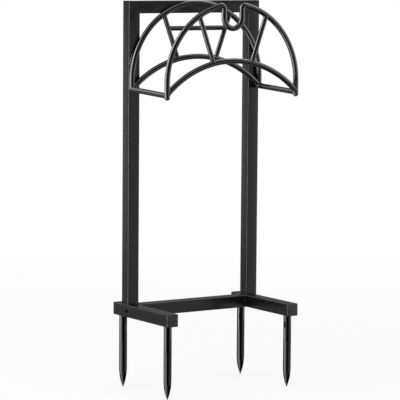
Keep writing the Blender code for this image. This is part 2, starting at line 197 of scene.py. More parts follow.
def coating(name, colour, shade, roughness, grain, depth, specular=0.5, metallic=0.0):
    """A sprayed, moulded or plated surface: faint cloudiness, uneven gloss and a fine grained skin.

    shade is the share by which the colour varies, grain the size of the skin's bumps in metres
    and depth their height in metres.
    """
    material, tree = add_material(name)
    shader = tree.nodes["Principled BSDF"]
    shader.inputs["Metallic"].default_value = metallic
    shader.inputs["Specular IOR Level"].default_value = specular
    place = tree.nodes.new("ShaderNodeTexCoord")

    clouds = noise(tree, place, CLOUD_SCALE, CLOUD_DETAIL)
    mix = tree.nodes.new("ShaderNodeMix")
    mix.data_type = "RGBA"
    mix.inputs["A"].default_value = (*[c * (1 - shade) for c in colour], 1.0)
    mix.inputs["B"].default_value = (*[c * (1 + shade) for c in colour], 1.0)
    link(tree, spread(tree, clouds, 0.0, 1.0), "Result", mix, "Factor")
    link(tree, mix, "Result", shader, "Base Color")

    patches = noise(tree, place, PATCH_SCALE, PATCH_DETAIL)
    gloss = spread(tree, patches, roughness * GLOSS_RANGE[0], roughness * GLOSS_RANGE[1])
    link(tree, gloss, "Result", shader, "Roughness")

    skin = noise(tree, place, 1.0 / grain, SKIN_DETAIL, SKIN_ROUGHNESS)
    bump = tree.nodes.new("ShaderNodeBump")
    bump.inputs["Strength"].default_value = 1.0
    bump.inputs["Distance"].default_value = depth
    link(tree, skin, "Fac", bump, "Height")
    link(tree, bump, "Normal", shader, "Normal")
    return material


SATIN = coating(
    "satin_black_powder_coat", (0.0068, 0.0068, 0.007),
    shade=0.1, roughness=0.2, grain=0.0011, depth=0.000005, specular=0.3,
)
GLOSS = coating(
    "gloss_black_coat", (0.008, 0.008, 0.0083),
    shade=0.12, roughness=0.09, grain=0.0016, depth=0.000002, specular=0.56,
)
ENAMEL = coating(
    "deep_black_enamel", (0.0008, 0.0008, 0.0008),
    shade=0.12, roughness=0.07, grain=0.0016, depth=0.0000015, specular=0.32,
)
PLASTIC = coating(
    "moulded_black_plastic", (0.006, 0.006, 0.0062),
    shade=0.08, roughness=0.42, grain=0.0006, depth=0.00004,
)
BLACK_STEEL = coating(
    "black_oxide_steel", (0.03, 0.03, 0.033),
    shade=0.2, roughness=0.34, grain=0.0008, depth=0.00002, metallic=1.0,
)
ZINC = coating(
    "zinc_plated_steel", (0.55, 0.55, 0.57),
    shade=0.12, roughness=0.32, grain=0.0009, depth=0.00003, metallic=1.0,
)


# Meshes

def add_piece(name, bm, material, slot, *nodes):
    """Links a finished mesh as a piece that rides on the stand and stands for the CAD nodes."""
    bmesh.ops.recalc_face_normals(bm, faces=bm.faces)
    mesh = take_mesh(name, bm)
    mesh.materials.append(material)
    mesh.shade_smooth()
    mesh.set_sharp_from_angle(angle=SMOOTH_ANGLE)
    obj = add_object(name, mesh)
    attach(obj, "root")
    if nodes:
        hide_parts(*nodes)
    return obj


def add_loop(bm, points):
    return [bm.verts.new(point) for point in points]


def bridge(bm, first, second):
    """Faces between two loops with the same number of vertices."""
    count = len(first)
    for i in range(count):
        j = (i + 1) % count
        bm.faces.new((first[i], first[j], second[j], second[i]))


def bridge_all(bm, loops):
    for first, second in zip(loops, loops[1:]):
        bridge(bm, first, second)


def close_ends(bm, loops):
    bm.faces.new(loops[0])
    bm.faces.new(loops[-1])


def add_fan(bm, loop, tip):
    """Faces from a loop to one vertex at the tip."""
    middle = bm.verts.new(tip)
    count = len(loop)
    for i in range(count):
        bm.faces.new((loop[i], loop[(i + 1) % count], middle))


def full_turn(count):
    """Angles of count equal steps once round."""
    return [2 * math.pi * i / count for i in range(count)]


def level_circle(radius, height, count):
    return [(radius * math.cos(a), radius * math.sin(a), height) for a in full_turn(count)]


def rounded_square(half, radius):
    """Outline of a square of the given half width with round corners, anticlockwise."""
    points = []
    for quarter in range(4):
        middle = math.radians(45 + 90 * quarter)
        centre_u = (half - radius) * math.copysign(1, math.cos(middle))
        centre_v = (half - radius) * math.copysign(1, math.sin(middle))
        for step in range(CORNER_STEPS + 1):
            angle = math.radians(90 * quarter) + math.radians(90) * step / CORNER_STEPS
            points.append((centre_u + radius * math.cos(angle), centre_v + radius * math.sin(angle)))
    return points


# Square tubes

# Half a seam's thickness in mitre gaps: a little over one closes the mitre
SEAM_FILL = 1.2
# How far the middle of a rounded edge lies in from its corner, as a share of the rounding
EDGE_MIDDLE = 0.3


def tube_mesh(length, start_slope=0.0, end_slope=0.0):
    """Hollow square tube along +Z. A slope of 1 or -1 cuts that end as a mitre across X."""
    bm = bmesh.new()
    loops = []
    for half, radius in ((HALF_TUBE, TUBE_CORNER), (HALF_TUBE - TUBE_WALL, TUBE_CORNER - TUBE_WALL)):
        outline = rounded_square(half, radius)
        loops.append((
            add_loop(bm, [(u, v, start_slope * u) for u, v in outline]),
            add_loop(bm, [(u, v, length + end_slope * u) for u, v in outline]),
        ))
    (outer_start, outer_end), (inner_start, inner_end) = loops
    bridge(bm, outer_start, outer_end)
    bridge(bm, inner_end, inner_start)
    bridge(bm, inner_start, outer_start)
    bridge(bm, outer_end, inner_end)
    return bm


def seam_mesh(slope):
    """Ground weld that fills a mitre: a thin slanted plate, a hair lower than the tube's skin."""
    bm = bmesh.new()
    half_gap = MITRE_GAP * SEAM_FILL
    outline = rounded_square(HALF_TUBE - SEAM_DEPTH, TUBE_CORNER - SEAM_DEPTH)
    low = add_loop(bm, [(u, v, slope * u - half_gap) for u, v in outline])
    high = add_loop(bm, [(u, v, slope * u + half_gap) for u, v in outline])
    bridge(bm, low, high)
    close_ends(bm, (low, high))
    return bm


def add_frame():
    across = Matrix.Rotation(math.radians(90), 4, "Y")
    post_low = BASE_TOP + GAP
    corner_z = STAND_TOP - HALF_TUBE
    for side, sign in SIDES.items():
        bm = tube_mesh(corner_z - MITRE_GAP - post_low, end_slope=sign)
        bm.transform(Matrix.Translation((sign * POST_X, POST_Y, post_low)))
        add_piece(f"{side}_post_tube", bm, SATIN, "satin_black_coat", f"{side}_post")
        seam = seam_mesh(sign)
        seam.transform(Matrix.Translation((sign * POST_X, POST_Y, corner_z)))
        add_piece(f"{side}_mitre_seam", seam, SATIN, "satin_black_coat")
    bm = tube_mesh(2 * (POST_X - MITRE_GAP), 1, -1)
    bm.transform(Matrix.Translation((MITRE_GAP - POST_X, POST_Y, corner_z)) @ across)
    add_piece("top_crossbar_tube", bm, SATIN, "satin_black_coat", "top_crossbar")


def hole_cutter(name, start, direction, radius, depth):
    """A drill with a flared mouth, which leaves the hole's rim softened by the coat."""
    direction = Vector(direction)
    turn = Vector((0, 0, 1)).rotation_difference(direction).to_matrix().to_4x4()
    reach = TUBE_WALL / 2
    profile = [
        (radius + HOLE_EDGE + reach, -reach),
        (radius + HOLE_EDGE, 0.0),
        (radius + HOLE_EDGE * EDGE_MIDDLE, HOLE_EDGE * EDGE_MIDDLE),
        (radius, HOLE_EDGE),
        (radius, depth),
    ]
    bm = bmesh.new()
    loops = [add_loop(bm, level_circle(r, z, HOLE_SIDES)) for r, z in profile]
    bridge_all(bm, loops)
    close_ends(bm, loops)
    bm.transform(Matrix.Translation(Vector(start)) @ turn)
    bmesh.ops.recalc_face_normals(bm, faces=bm.faces)
    return add_object(name, take_mesh(name, bm))


def cut_holes(obj, cutters):
    """Cuts the holes and keeps only the finished mesh."""
    for cutter in cutters:
        boolean = obj.modifiers.new(cutter.name, "BOOLEAN")
        boolean.operation = "DIFFERENCE"
        boolean.solver = "EXACT"
        boolean.object = cutter
    bpy.context.view_layer.update()
    graph = bpy.context.evaluated_depsgraph_get()
    finished = bpy.data.meshes.new_from_object(obj.evaluated_get(graph))
    obj.modifiers.clear()
    obj.data = finished
    for cutter in cutters:
        bpy.data.objects.remove(cutter, do_unlink=True)


def base_tube_cutters(side, sign):
    """Drills of a base tube: key and screw hole across it, head and screw hole up through it."""
    depth = 2 * TUBE_WALL
    outer_x = sign * (POST_X + HALF_TUBE)
    inner_x = sign * (POST_X - HALF_TUBE)
    side_y = POST_Y - SCREW_OFFSET
    post_y = POST_Y + SCREW_OFFSET
    key = (outer_x, side_y, BASE_MIDDLE)
    bolt = (inner_x, side_y, BASE_MIDDLE)
    head = (sign * POST_X, post_y, BASE_LOW)
    stud = (sign * POST_X, post_y, BASE_TOP)
    return [
        hole_cutter(f"{side}_key", key, (-sign, 0, 0), KEY_HOLE_RADIUS, depth),
        hole_cutter(f"{side}_bolt", bolt, (sign, 0, 0), SCREW_HOLE_RADIUS, depth),
        hole_cutter(f"{side}_head", head, (0, 0, 1), HEAD_HOLE_RADIUS, depth),
        hole_cutter(f"{side}_stud", stud, (0, 0, -1), SCREW_HOLE_RADIUS, depth),
    ]


def add_base():
    across = Matrix.Rotation(math.radians(90), 4, "Y")
    cross_low, cross_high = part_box("base_cross_tube")
    bm = tube_mesh(cross_high.x - cross_low.x)
    bm.transform(Matrix.Translation((cross_low.x, POST_Y, BASE_MIDDLE)) @ across)
    add_piece("base_cross_member", bm, SATIN, "satin_black_coat", "base_cross_tube")
    along = Matrix.Rotation(math.radians(-90), 4, "X")
    for side, sign in SIDES.items():
        low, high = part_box(f"{side}_base_tube")
        bm = tube_mesh(high.y - low.y)
        bm.transform(Matrix.Translation((sign * POST_X, low.y, BASE_MIDDLE)) @ along)
        tube = add_piece(f"{side}_side_member", bm, SATIN, "satin_black_coat", f"{side}_base_tube")
        cut_holes(tube, base_tube_cutters(side, sign))


# End caps

# The crown's rings as (share of the half width, share of CAP_CROWN), from the edge inwards
CROWN_RINGS = ((0.8, 0.45), (0.6, 0.72), (0.35, 0.92), (0.12, 1.0))


def cap_mesh(thickness, depth):
    """Cap facing +Z: a hollow plug behind a cover with a round edge and a slight crown."""
    bm = bmesh.new()
    plug_half = HALF_TUBE - TUBE_WALL - GAP
    plug_corner = TUBE_CORNER - TUBE_WALL
    rim = thickness - CAP_CROWN
    levels = [
        (plug_half - CAP_PLUG_WALL, plug_corner / 2, -GAP),
        (plug_half - CAP_PLUG_WALL, plug_corner / 2, -depth),
        (plug_half, plug_corner, -depth),
        (plug_half, plug_corner, 0.0),
        (HALF_TUBE, TUBE_CORNER, 0.0),
    ]
    for i in range(CAP_EDGE_STEPS + 1):
        angle = math.radians(90) * i / CAP_EDGE_STEPS
        inset = CAP_EDGE * (1 - math.cos(angle))
        height = rim - CAP_EDGE * (1 - math.sin(angle))
        levels.append((HALF_TUBE - inset, TUBE_CORNER - inset, height))
    for share, rise in CROWN_RINGS:
        half = (HALF_TUBE - CAP_EDGE) * share
        corner = (TUBE_CORNER - CAP_EDGE) * share
        levels.append((half, corner, rim + CAP_CROWN * rise))
    loops = [
        add_loop(bm, [(u, v, z) for u, v in rounded_square(half, radius)]) for half, radius, z in levels
    ]
    bridge_all(bm, loops)
    close_ends(bm, loops)
    return bm


def add_end_caps():
    for side, sign in SIDES.items():
        tube_low, tube_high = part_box(f"{side}_base_tube")
        for end, way, face_y in (("front", -1, tube_low.y - GAP), ("rear", 1, tube_high.y + GAP)):
            low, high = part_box(f"{side}_{end}_end_cap")
            thickness = high.y - face_y if way > 0 else face_y - low.y
            depth = (high.y - low.y) - thickness
            bm = cap_mesh(thickness, depth)
            turn = Matrix.Rotation(math.radians(-90 * way), 4, "X")
            bm.transform(Matrix.Translation((sign * POST_X, face_y, BASE_MIDDLE)) @ turn)
            add_piece(f"{side}_{end}_cap", bm, PLASTIC, "black_plastic", f"{side}_{end}_end_cap")


# Ground spikes

# The blunt tip's edge is rounded by this share of the tip's radius
TIP_ROUNDING = 0.4
SPIKE_BEAD_RIPPLES = 26


def spike_profile(shoulder, tenon_top):
    """(radius, height) from the tenon down to the blunt tip."""
    profile = [
        (0.0, tenon_top),
        (TENON_RADIUS - SPIKE_EDGE, tenon_top),
        (TENON_RADIUS, tenon_top - SPIKE_EDGE),
        (TENON_RADIUS, shoulder),
        (SPIKE_RADIUS - SPIKE_EDGE, shoulder),
        (SPIKE_RADIUS - SPIKE_EDGE * EDGE_MIDDLE, shoulder - SPIKE_EDGE * EDGE_MIDDLE),
        (SPIKE_RADIUS, shoulder - SPIKE_EDGE),
    ]
    for ring in range(TAPER_RINGS):
        share = 1 - ring / TAPER_RINGS
        profile.append((SPIKE_RADIUS * (1 - (1 - share) ** SPIKE_OGIVE), SPIKE_TAPER * share))
    profile.append((SPIKE_TIP_RADIUS, SPIKE_TIP_RADIUS * TIP_ROUNDING))
    profile.append((SPIKE_TIP_RADIUS * (1 - TIP_ROUNDING), 0.0))
    profile.append((0.0, 0.0))
    return profile


def turned_mesh(profile):
    """Turned form round the Z axis; its profile of (radius, height) begins and ends on that axis."""
    bm = bmesh.new()
    loops = [add_loop(bm, level_circle(r, z, TURN_STEPS)) for r, z in profile[1:-1]]
    bridge_all(bm, loops)
    add_fan(bm, loops[0], (0, 0, profile[0][1]))
    add_fan(bm, loops[-1], (0, 0, profile[-1][1]))
    return bm


def add_spikes():
    for side in SIDES:
        for end in ("front", "rear"):
            node = f"{side}_{end}_spike"
            middle = box_middle(node)
            bm = turned_mesh(spike_profile(BASE_LOW - SHOULDER_GAP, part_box(node)[1].z))
            bm.transform(Matrix.Translation((middle.x, middle.y, 0)))
            add_piece(f"{side}_{end}_ground_spike", bm, ENAMEL, "deep_black_enamel", node)
            foot = Vector((middle.x, middle.y, BASE_LOW))
            around = [Vector((math.cos(a), math.sin(a), 0)) for a in full_turn(BEAD_STEPS)]
            ring = [direction * SPIKE_RADIUS + foot for direction in around]
            bm = bead_mesh(ring, SPIKE_BEAD_RADIUS, SPIKE_BEAD_RIPPLES, closed=True)
            add_piece(f"{side}_{end}_spike_weld", bm, ENAMEL, "deep_black_enamel")


# Bent rods

def arc(centre, radius, start, end, step, y):
    """Points of an arc in the plane at y, both ends included; centre is (x, z)."""
    count = max(2, math.ceil(abs(end - start) / step))
    angles = [start + (end - start) * i / count for i in range(count + 1)]
    return [
        Vector((centre[0] + radius * math.cos(angle), y, centre[1] + radius * math.sin(angle)))
        for angle in angles
    ]


def mirrored(points):
    """The same points on the other side of the stand, in reverse order."""
    return [Vector((-point.x, point.y, point.z)) for point in reversed(points)]


def rounded_corner(before, corner, after):
    """Points of the bend that replaces a sharp corner of a rod."""
    to_before = (before - corner).normalized()
    to_after = (after - corner).normalized()
    half = to_before.angle(to_after) / 2
    centre = corner + (to_before + to_after).normalized() * (BEND_RADIUS / math.sin(half))
    start = corner + to_before * (BEND_RADIUS / math.tan(half)) - centre
    end = corner + to_after * (BEND_RADIUS / math.tan(half)) - centre
    turn = start.rotation_difference(end)
    count = math.ceil(turn.angle / BEND_STEP)
    axis = turn.axis
    return [centre + Matrix.Rotation(turn.angle * i / count, 3, axis) @ start for i in range(count + 1)]


def tangents(path, closed=False):
    """Direction of a path at each of its points."""
    found = []
    count = len(path)
    for i, point in enumerate(path):
        if closed:
            ahead = path[(i + 1) % count] - point
            behind = point - path[i - 1]
        else:
            ahead = path[min(i + 1, count - 1)] - point
            behind = point - path[max(i - 1, 0)]
        found.append((ahead.normalized() + behind.normalized()).normalized())
    return found


def ring_points(centre, tangent, across, radius, sides):
    """Points of a circle square to the tangent, the first of them in the direction across."""
    other = tangent.cross(across)
    return [
        centre + (across * math.cos(a) + other * math.sin(a)) * radius for a in full_turn(sides)
    ]


def rod_mesh(path, radius, domed):
    """A round rod along a path, with flat or domed ends."""
    directions = tangents(path)
    rings = [(point, direction, radius) for point, direction in zip(path, directions)]
    tips = [path[0], path[-1]]
    if domed:
        tips = [path[0] - directions[0] * radius, path[-1] + directions[-1] * radius]
        head, tail = [], []
        for i in range(1, DOME_RINGS):
            angle = math.radians(90) * i / DOME_RINGS
            out, narrow = radius * math.sin(angle), radius * math.cos(angle)
            head.insert(0, (path[0] - directions[0] * out, directions[0], narrow))
            tail.append((path[-1] + directions[-1] * out, directions[-1], narrow))
        rings = head + rings + tail

    bm = bmesh.new()
    across = rings[0][1].orthogonal().normalized()
    loops = []
    for centre, tangent, ring_radius in rings:
        across = (across - tangent * across.dot(tangent)).normalized()
        loops.append(add_loop(bm, ring_points(centre, tangent, across, ring_radius, ROD_SIDES)))
    bridge_all(bm, loops)
    add_fan(bm, loops[0], tips[0])
    add_fan(bm, loops[-1], tips[1])
    return bm


def front_loop_path():
    """Up the left leg, round the arch, down and up the notch, and the same on the right."""
    y = FRONT_PLANE_Y
    bend_x = -(NOTCH_RADIUS + BEND_RADIUS)
    bend_rise = math.sqrt((ARCH_RADIUS - BEND_RADIUS) ** 2 - bend_x**2)
    bend_start = math.atan2(bend_rise, bend_x)
    half = [Vector((-ARCH_RADIUS, y, LEG_LOW_Z + ROD_RADIUS))]
    half += arc((0, ARCH_CENTRE_Z), ARCH_RADIUS, math.pi, bend_start, ARC_STEP, y)
    half += arc((bend_x, ARCH_CENTRE_Z + bend_rise), BEND_RADIUS, bend_start, 0, BEND_STEP, y)[1:]
    half += arc((0, NOTCH_CENTRE_Z), NOTCH_RADIUS, math.pi, 1.5 * math.pi, BEND_STEP, y)
    return half + mirrored(half)[1:]


def rear_arch_path():
    """Up from the left rear corner, round the arch and down to the right one."""
    foot = Vector((-ARCH_RADIUS, REAR_PLANE_Y, REAR_CORNER_Z))
    arch = arc((0, ARCH_CENTRE_Z), ARCH_RADIUS, math.pi, 0, ARC_STEP, REAR_PLANE_Y)
    return [foot] + arch + [Vector((-foot.x, foot.y, foot.z))]


def saddle_z(drop, x):
    """Height of a saddle's centreline; drop is that of its highest point."""
    return STAND_TOP - drop - SADDLE_RADIUS + math.sqrt(SADDLE_RADIUS**2 - x * x)


def saddle_path(drop, y):
    """A saddle's arc from left to right."""
    reach = math.asin(ARCH_RADIUS / SADDLE_RADIUS)
    centre = (0, STAND_TOP - drop - SADDLE_RADIUS)
    return arc(centre, SADDLE_RADIUS, math.pi / 2 + reach, math.pi / 2 - reach, ARC_STEP, y)


def rear_saddle_path():
    """Back along the left arm, over the rear saddle and forward along the right arm."""
    saddle = saddle_path(REAR_SADDLE_DROP, REAR_PLANE_Y)
    skipped = math.ceil(BEND_RADIUS * 2 / (saddle[1] - saddle[0]).length)
    arm_front = Vector((-ARCH_RADIUS, FRONT_PLANE_Y, ARM_FRONT_Z))
    start = [arm_front] + rounded_corner(arm_front, saddle[0], saddle[skipped])
    return start + saddle[skipped:-skipped] + mirrored(start)


def spoke_path(sign, drop, y):
    """From the arch down to the saddle with the given drop."""
    arch_z = ARCH_CENTRE_Z + math.sqrt(ARCH_RADIUS**2 - SPOKE_TOP_X**2)
    return [
        Vector((sign * SPOKE_TOP_X, y, arch_z)),
        Vector((sign * SPOKE_LOW_X, y, saddle_z(drop, SPOKE_LOW_X))),
    ]


def back_bar_path():
    """From one rear spoke to the other, at the bar's height."""
    top, low = spoke_path(1, REAR_SADDLE_DROP, REAR_PLANE_Y)
    end = top.lerp(low, (top.z - BACK_BAR_Z) / (top.z - low.z))
    return [Vector((-end.x, end.y, end.z)), end]


# Weld beads

# A bead's thickness varies by these shares: with its ripples, and in a few slow waves
RIPPLE = 0.13
DRIFT = 0.06
DRIFT_HALF_WAVES = 7
# An open bead's ends: their least thickness, and how late the taper sets in
END_SHARE = 0.15
END_POWER = 8
JOINT_RIPPLES = 17
TACK_RIPPLES = 9
# Share of a branch rod's radius that the bead follows where it ends on a rod of its own size
BEAD_INSET = 0.98
# Where a joint's line is looked for, in radii of the main rod, and in how many halvings
JOINT_REACH = 4
JOINT_MARGIN = 0.01
JOINT_HALVINGS = 24
# How far a tack's middle lies before the frame, by its own radius, and beside the arch's, by the rod's
TACK_RISE = 0.45
TACK_OFFSET = 0.86


def bead_mesh(path, radius, ripples, closed=False):
    """A weld bead along a path: a thin tube whose thickness ripples, tapered where it is open."""
    count = len(path)
    bm = bmesh.new()
    loops = []
    directions = tangents(path, closed)
    across = directions[0].orthogonal().normalized()
    for i, (point, tangent) in enumerate(zip(path, directions)):
        across = (across - tangent * across.dot(tangent)).normalized()
        share = i / count if closed else i / (count - 1)
        ripple = RIPPLE * math.sin(2 * math.pi * ripples * share)
        drift = DRIFT * math.sin(DRIFT_HALF_WAVES * share * math.pi)
        size = radius * (1 + ripple + drift)
        if not closed:
            size *= max(END_SHARE, math.sqrt(max(0.0, 1 - (2 * share - 1) ** END_POWER)))
        loops.append(add_loop(bm, ring_points(point, tangent, across, size, BEAD_SIDES)))
    bridge_all(bm, loops)
    if closed:
        bridge(bm, loops[-1], loops[0])
    else:
        close_ends(bm, loops)
    return bm


def distance_to(path, point):
    """Distance from a point to a path."""
    best = math.inf
    for a, b in zip(path, path[1:]):
        along = b - a
        share = min(1.0, max(0.0, (point - a).dot(along) / along.length_squared))
        near = a + along * share
        best = min(best, (point - near).length)
    return best


def joint_ring(end, direction, branch_radius, main_path, main_radius):
    """The line where a branch rod, which leaves end along direction, comes out of the main rod."""
    direction = direction.normalized()
    across = direction.orthogonal().normalized()
    window = (JOINT_REACH + 1) * main_radius + JOINT_MARGIN
    near = [p for p in main_path if (p - end).length < window] or main_path
    ring = []
    for radial in ring_points(Vector((0, 0, 0)), direction, across, 1.0, BEAD_STEPS):
        low, high = 0.0, JOINT_REACH * main_radius
        start = end + radial * branch_radius
        for _ in range(JOINT_HALVINGS):
            middle = (low + high) / 2
            if distance_to(near, start + direction * middle) < main_radius:
                low = middle
            else:
                high = middle
        ring.append(start + direction * high)
    return ring


def add_joint_weld(name, end, direction, branch_radius, main_path, main_radius=ROD_RADIUS):
    ring = joint_ring(end, direction, branch_radius, main_path, main_radius)
    bm = bead_mesh(ring, BEAD_RADIUS, JOINT_RIPPLES, closed=True)
    add_piece(name, bm, GLOSS, "gloss_black_coat")


def add_frame_tacks():
    """Short beads in the crevices where the rear arch lies against the crossbar and the posts."""
    y = FRAME_FRONT_Y - TACK_RADIUS * TACK_RISE
    inner = ARCH_RADIUS - ROD_RADIUS * TACK_OFFSET
    outer = ARCH_RADIUS + ROD_RADIUS * TACK_OFFSET
    centre = (0, ARCH_CENTRE_Z)
    # radius of the bead's arc, and its first and last angle in degrees
    places = {
        "crown_left": (inner, 100, 108),
        "crown_right": (inner, 72, 80),
        "post_left_inner": (inner, 162, 171),
        "post_left_outer": (outer, 160, 169),
        "post_right_inner": (inner, 9, 18),
        "post_right_outer": (outer, 11, 20),
    }
    for name, (radius, start, end) in places.items():
        path = arc(centre, radius, math.radians(start), math.radians(end), TACK_STEP, y)
        bm = bead_mesh(path, TACK_RADIUS, TACK_RIPPLES)
        add_piece(f"tack_{name}", bm, GLOSS, "gloss_black_coat")


def add_hanger():
    front_loop = front_loop_path()
    front_saddle = saddle_path(FRONT_SADDLE_DROP, FRONT_PLANE_Y)
    rear_arch = rear_arch_path()
    rear_saddle = rear_saddle_path()
    rods = [
        ("front_loop_rod", front_loop, ROD_RADIUS, True, "hanger_front_loop"),
        ("front_saddle_rod", front_saddle, ROD_RADIUS, False, "hanger_front_saddle"),
        ("rear_arch_rod", rear_arch, ROD_RADIUS, False, "hanger_rear_arch"),
        ("rear_saddle_rod", rear_saddle, ROD_RADIUS, False, "hanger_rear_saddle"),
        ("back_bar_rod", back_bar_path(), SPOKE_RADIUS, False, "hanger_back_bar"),
    ]
    for side, sign in SIDES.items():
        front = spoke_path(sign, FRONT_SADDLE_DROP, FRONT_PLANE_Y)
        rear = spoke_path(sign, REAR_SADDLE_DROP, REAR_PLANE_Y)
        rods.append((f"{side}_front_spoke_rod", front, SPOKE_RADIUS, False, f"{side}_front_spoke"))
        rods.append((f"{side}_rear_spoke_rod", rear, SPOKE_RADIUS, False, f"{side}_rear_spoke"))
    for name, path, radius, domed, node in rods:
        add_piece(name, rod_mesh(path, radius, domed), GLOSS, "gloss_black_coat", node)

    bar_ring = SPOKE_RADIUS * BEAD_INSET
    rod_ring = ROD_RADIUS * BEAD_INSET
    for side, sign in SIDES.items():
        for end, drop, y, arch, saddle in (
            ("front", FRONT_SADDLE_DROP, FRONT_PLANE_Y, front_loop, front_saddle),
            ("rear", REAR_SADDLE_DROP, REAR_PLANE_Y, rear_arch, rear_saddle),
        ):
            top, low = spoke_path(sign, drop, y)
            add_joint_weld(f"{side}_{end}_spoke_top_weld", top, low - top, SPOKE_RADIUS, arch)
            add_joint_weld(f"{side}_{end}_spoke_low_weld", low, top - low, SPOKE_RADIUS, saddle)
        bar_end = back_bar_path()[0 if sign < 0 else 1]
        inwards = Vector((-sign, 0, 0))
        rear = spoke_path(sign, REAR_SADDLE_DROP, REAR_PLANE_Y)
        add_joint_weld(f"{side}_bar_weld", bar_end, inwards, bar_ring, rear, SPOKE_RADIUS)
        ends = front_saddle if sign < 0 else front_saddle[::-1]
        add_joint_weld(f"{side}_saddle_weld", ends[0], ends[1] - ends[0], rod_ring, front_loop)
        arm_end = Vector((sign * ARCH_RADIUS, FRONT_PLANE_Y, ARM_FRONT_Z))
        add_joint_weld(f"{side}_arm_weld", arm_end, Vector((0, 1, 0)), rod_ring, front_loop)
        foot = Vector((sign * ARCH_RADIUS, REAR_PLANE_Y, REAR_CORNER_Z))
        add_joint_weld(f"{side}_foot_weld", foot, Vector((0, 0, 1)), rod_ring, rear_saddle)
    add_frame_tacks()


# Fasteners inside the base keep their own meshes

def finish_fasteners():
    for side in SIDES:
        for joint, plug_finish in (("cross_tube", SATIN), ("post", ZINC)):
            for piece, material in (("screw", BLACK_STEEL), ("washer", ZINC), ("plug", plug_finish)):
                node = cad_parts[f"{side}_{joint}_{piece}"]
                node.data.materials.clear()
                node.data.materials.append(material)


# Stage, light and camera

CAMERA_PLACE = Vector((-2.61419, -3.99918, 0.88575))
CAMERA_YAW = 0.5763
CAMERA_PITCH = 0.1056
CAMERA_ROLL = 0.0077
FOCAL_PIXELS = 2398.2
PHOTO_PIXELS = 400
SENSOR = 36.0
CLIP_END = 300.0


def add_camera():
    """Pinhole camera found by fitting the frame's edges in the photograph."""
    forward = Vector((
        math.sin(CAMERA_YAW) * math.cos(CAMERA_PITCH),
        math.cos(CAMERA_YAW) * math.cos(CAMERA_PITCH),
        -math.sin(CAMERA_PITCH),
    ))
    right = Vector((math.cos(CAMERA_YAW), -math.sin(CAMERA_YAW), 0))
    up = right.cross(forward)
    cosine, sine = math.cos(CAMERA_ROLL), math.sin(CAMERA_ROLL)
    right, up = right * cosine + up * sine, up * cosine - right * sine
    data = bpy.data.cameras.new("camera")
    data.sensor_width = SENSOR
    data.lens = FOCAL_PIXELS * SENSOR / PHOTO_PIXELS
    data.clip_end = CLIP_END
    camera = add_object("camera", data)
    rotation = Matrix((right, up, -forward)).transposed().to_4x4()
    camera.matrix_world = Matrix.Translation(CAMERA_PLACE) @ rotation
    bpy.context.scene.camera = camera


def background_rays(tree):
    """1 for camera, glossy and transmission rays, which the floor and the world answer with white.

    The stand's reflections don't reach that white: the floor is hidden from glossy rays, and the
    dark surround card in add_light encloses the stand.
    """
    path = tree.nodes.new("ShaderNodeLightPath")
    total = tree.nodes.new("ShaderNodeMath")
    total.operation = "MAXIMUM"
    link(tree, path, "Is Camera Ray", total, 0)
    link(tree, path, "Is Glossy Ray", total, 1)
    both = tree.nodes.new("ShaderNodeMath")
    both.operation = "MAXIMUM"
    link(tree, total, "Value", both, 0)
    link(tree, path, "Is Transmission Ray", both, 1)
    return both


WORLD_LIGHT = 0.55


def add_world():
    """White to the rays that see the background, and softer as a light."""
    world = bpy.data.worlds.new("studio")
    world.use_nodes = True
    tree = world.node_tree
    background = tree.nodes["Background"]
    background.inputs["Color"].default_value = (1, 1, 1, 1)
    strength = tree.nodes.new("ShaderNodeMapRange")
    strength.inputs["To Min"].default_value = WORLD_LIGHT
    strength.inputs["To Max"].default_value = 1.0
    link(tree, background_rays(tree), "Value", strength, "Value")
    link(tree, strength, "Result", background, "Strength")
    bpy.context.scene.world = world


FLOOR_RADIUS = 120.0
FLOOR_SIDES = 96
FLOOR_COLOUR = 0.85
FLOOR_ROUGHNESS = 0.9
# Where the floor begins and ends to turn from shaded to plain white, and how white it is at the start
FADE_START = 0.3
FADE_END = 2.5
NEAR_WHITE = 0.85


def add_floor():
    """Pale floor. Close to the stand it takes its shadow, and far off it is plain white.

    The stand's coats don't mirror it.
    """
    bm = bmesh.new()
    bmesh.ops.create_circle(bm, cap_ends=True, segments=FLOOR_SIDES, radius=FLOOR_RADIUS)
    mesh = take_mesh("floor", bm)
    floor = add_object("floor", mesh)
    floor.visible_glossy = False

    material, tree = add_material("floor_white")
    shader = tree.nodes["Principled BSDF"]
    shader.inputs["Base Color"].default_value = (FLOOR_COLOUR, FLOOR_COLOUR, FLOOR_COLOUR, 1)
    shader.inputs["Roughness"].default_value = FLOOR_ROUGHNESS
    shader.inputs["Specular IOR Level"].default_value = 0.0
    glow = tree.nodes.new("ShaderNodeEmission")
    place = tree.nodes.new("ShaderNodeTexCoord")
    length = tree.nodes.new("ShaderNodeVectorMath")
    length.operation = "LENGTH"
    link(tree, place, "Object", length, 0)
    share = tree.nodes.new("ShaderNodeMapRange")
    share.interpolation_type = "SMOOTHSTEP"
    share.inputs["From Min"].default_value = FADE_START
    share.inputs["From Max"].default_value = FADE_END
    share.inputs["To Min"].default_value = NEAR_WHITE
    share.inputs["To Max"].default_value = 1.0
    link(tree, length, "Value", share, "Value")
    factor = tree.nodes.new("ShaderNodeMath")
    factor.operation = "MULTIPLY"
    link(tree, share, "Result", factor, 0)
    link(tree, background_rays(tree), "Value", factor, 1)
    mix = tree.nodes.new("ShaderNodeMixShader")
    link(tree, factor, "Value", mix, "Fac")
    link(tree, shader, "BSDF", mix, 1)
    link(tree, glow, "Emission", mix, 2)
    link(tree, mix, "Shader", tree.nodes["Material Output"], "Surface")
    mesh.materials.append(material)


